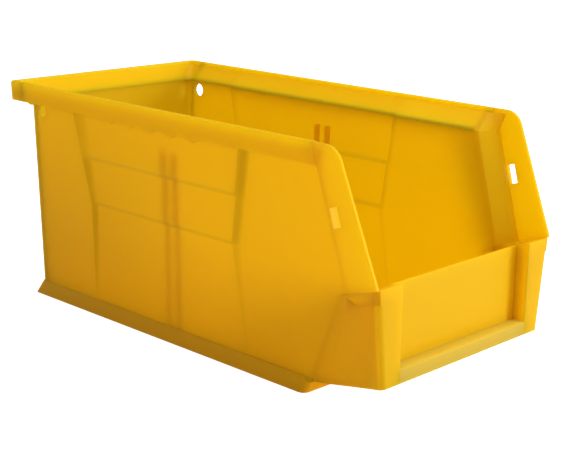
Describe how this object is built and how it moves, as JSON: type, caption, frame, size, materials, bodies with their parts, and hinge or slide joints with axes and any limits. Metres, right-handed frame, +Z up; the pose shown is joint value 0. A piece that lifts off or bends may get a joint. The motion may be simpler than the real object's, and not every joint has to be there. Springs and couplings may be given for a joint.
{
  "type": "stackable storage bin",
  "caption": "Open-front stacking and hanging storage bin in translucent yellow plastic, with a low label front, leaning side cheeks, a hollow hooked rim and a flared stacking foot.",
  "frame": {"origin": "middle of the bin's outline at the plane it stands on", "axes": "+Z up, +Y towards the rear wall and its hang lip, -Y towards the open front, +X across the bin; the bin is the same on both sides of the plane X = 0"},
  "size_m": [0.1396, 0.2762, 0.127],
  "materials": {
    "polypropylene": "translucent yellow polypropylene, satin moulded surface"
  },
  "bodies": {
    "root": {"rear_wall": "polypropylene", "rear_hang_lip": "polypropylene", "front_label_panel": "polypropylene", "front_bottom_bar": "polypropylene", "floor_panel": "polypropylene", "front_ramp": "polypropylene", "rear_base_rail": "polypropylene", "front_base_rail": "polypropylene", "left_side_wall": "polypropylene", "left_top_rim": "polypropylene", "left_rim_gusset": "polypropylene", "left_cheek": "polypropylene", "left_cheek_web": "polypropylene", "left_front_shelf": "polypropylene", "left_front_corner": "polypropylene", "left_base_rail": "polypropylene", "left_divider_guide": "polypropylene", "right_side_wall": "polypropylene", "right_top_rim": "polypropylene", "right_rim_gusset": "polypropylene", "right_cheek": "polypropylene", "right_cheek_web": "polypropylene", "right_front_shelf": "polypropylene", "right_front_corner": "polypropylene", "right_base_rail": "polypropylene", "right_divider_guide": "polypropylene"}
  },
  "joints": []
}
